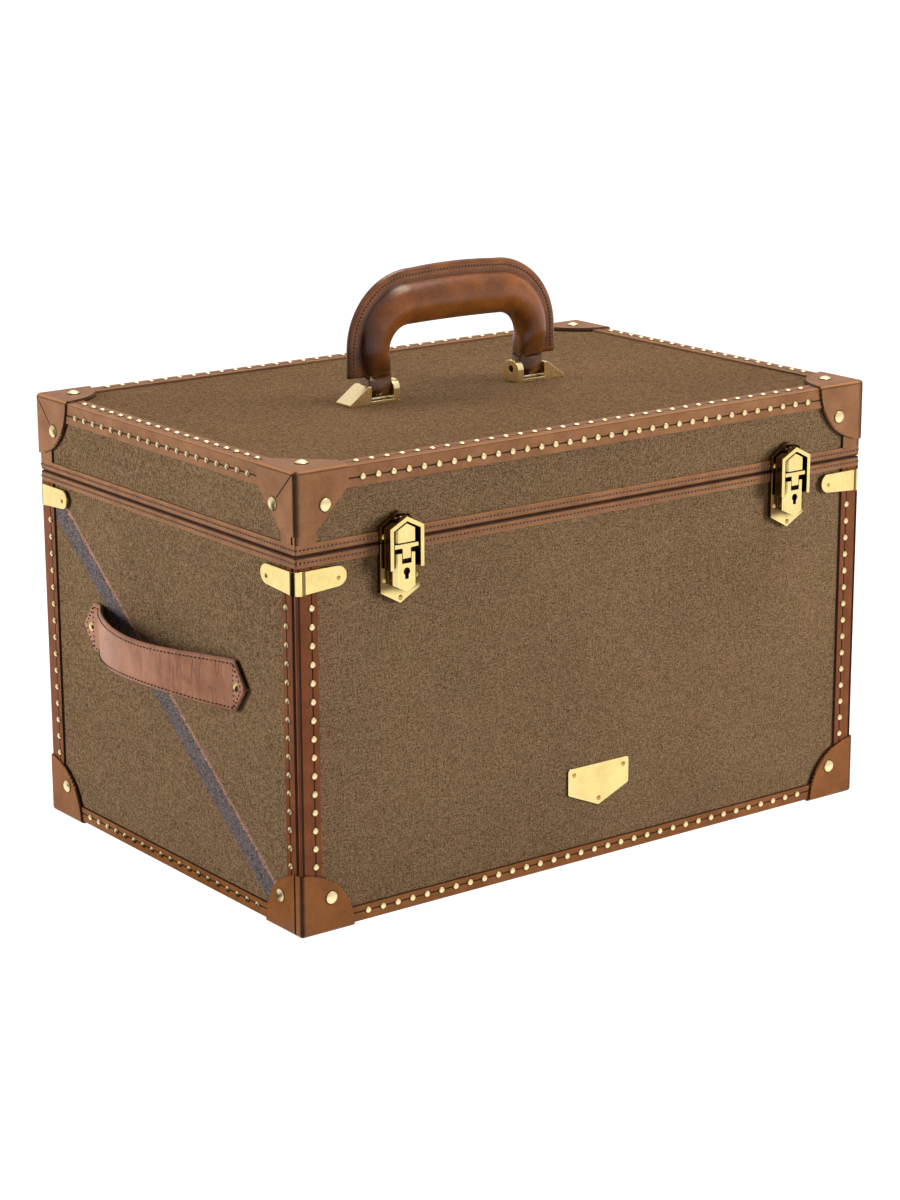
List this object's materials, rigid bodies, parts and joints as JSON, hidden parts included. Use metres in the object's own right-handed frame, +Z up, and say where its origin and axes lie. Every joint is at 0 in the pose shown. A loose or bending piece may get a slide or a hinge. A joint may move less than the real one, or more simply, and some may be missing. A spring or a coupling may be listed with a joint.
{
  "type": "jewelry case",
  "caption": "Trunk-style jewelry case in canvas with nailed leather edges, hinged lid, hasp locks, top handle, side straps and a lift-out tray.",
  "frame": {"origin": "under the middle of the case, on the surface it stands on", "axes": "+Z up, -Y to the front with the locks, +X along the width"},
  "size_m": [0.4388, 0.2788, 0.3237],
  "materials": {
    "canvas": "fine olive-brown canvas",
    "leather": "chestnut leather strips and caps",
    "grip_leather": "padded saddle-brown leather",
    "brass": "polished",
    "plywood": "bare birch plywood",
    "tray_cover": "board covered in suede cloth",
    "lining": "suede-like lining"
  },
  "bodies": {
    "base": {"base_front_panel": "plywood", "base_back_panel": "plywood", "base_left_panel": "plywood", "base_right_panel": "plywood", "base_bottom_panel": "plywood", "base_cloth": "canvas", "base_lining": "lining", "base_rim_binding": "leather", "base_upright_bindings": "leather", "base_bottom_bindings": "leather", "base_cap_front_left": "leather", "base_cap_front_right": "leather", "base_cap_back_left": "leather", "base_cap_back_right": "leather", "corner_brackets": "brass", "base_nails": "brass", "base_cap_rivets": "brass", "base_small_rivets": "brass", "nameplate": "brass", "left_strap_handle": "leather", "right_strap_handle": "leather", "strap_rivets": "brass", "left_lock_case": "brass", "right_lock_case": "brass", "base_hinge_leaves": "brass", "hinge_pins": "brass", "tray_ledges": "tray_cover"},
    "lid": {"lid_top_panel": "plywood", "lid_front_panel": "plywood", "lid_back_panel": "plywood", "lid_left_panel": "plywood", "lid_right_panel": "plywood", "lid_cloth": "canvas", "lid_lining": "lining", "lid_pad": "lining", "lid_rim_binding": "leather", "lid_edge_bindings": "leather", "lid_cap_front_left": "leather", "lid_cap_front_right": "leather", "lid_cap_back_left": "leather", "lid_cap_back_right": "leather", "lid_nails": "brass", "lid_cap_rivets": "brass", "lid_small_rivets": "brass", "left_keeper": "brass", "right_keeper": "brass", "hasp_pins": "brass", "left_handle_bracket": "brass", "right_handle_bracket": "brass", "handle_pins": "brass", "lid_hinge_leaves": "brass"},
    "handle": {"handle_grip": "grip_leather"},
    "left_hasp": {"left_hasp": "brass"},
    "right_hasp": {"right_hasp": "brass"},
    "left_slide": {"left_thumb_slide": "brass"},
    "right_slide": {"right_thumb_slide": "brass"},
    "tray": {"tray_frame": "tray_cover", "tray_dividers": "tray_cover", "ring_rolls": "lining"}
  },
  "joints": [
    {"name": "lid_hinge", "type": "hinge", "parent": "base", "child": "lid", "pos_m": [0, 0.1357, 0.207], "axis": [-1, 0, 0], "range_deg": [0, 100]},
    {"name": "handle_swing", "type": "hinge", "parent": "lid", "child": "handle", "pos_m": [0, 0, 0.2571], "axis": [1, 0, 0], "range_deg": [-74, 74]},
    {"name": "left_hasp_swing", "type": "hinge", "parent": "lid", "child": "left_hasp", "pos_m": [-0.1345, -0.1359, 0.2198], "axis": [-1, 0, 0], "range_deg": [0, 100]},
    {"name": "right_hasp_swing", "type": "hinge", "parent": "lid", "child": "right_hasp", "pos_m": [0.1405, -0.1359, 0.2198], "axis": [-1, 0, 0], "range_deg": [0, 100]},
    {"name": "left_slide_press", "type": "slide", "parent": "base", "child": "left_slide", "axis": [0, 0, -1], "range_m": [0, 0.0022], "stiffness_N_per_m": 150, "springref_m": -0.004},
    {"name": "right_slide_press", "type": "slide", "parent": "base", "child": "right_slide", "axis": [0, 0, -1], "range_m": [0, 0.0022], "stiffness_N_per_m": 150, "springref_m": -0.004},
    {"name": "tray_lift", "type": "slide", "parent": "base", "child": "tray", "axis": [0, 0, 1], "range_m": [0, 0.029]}
  ]
}
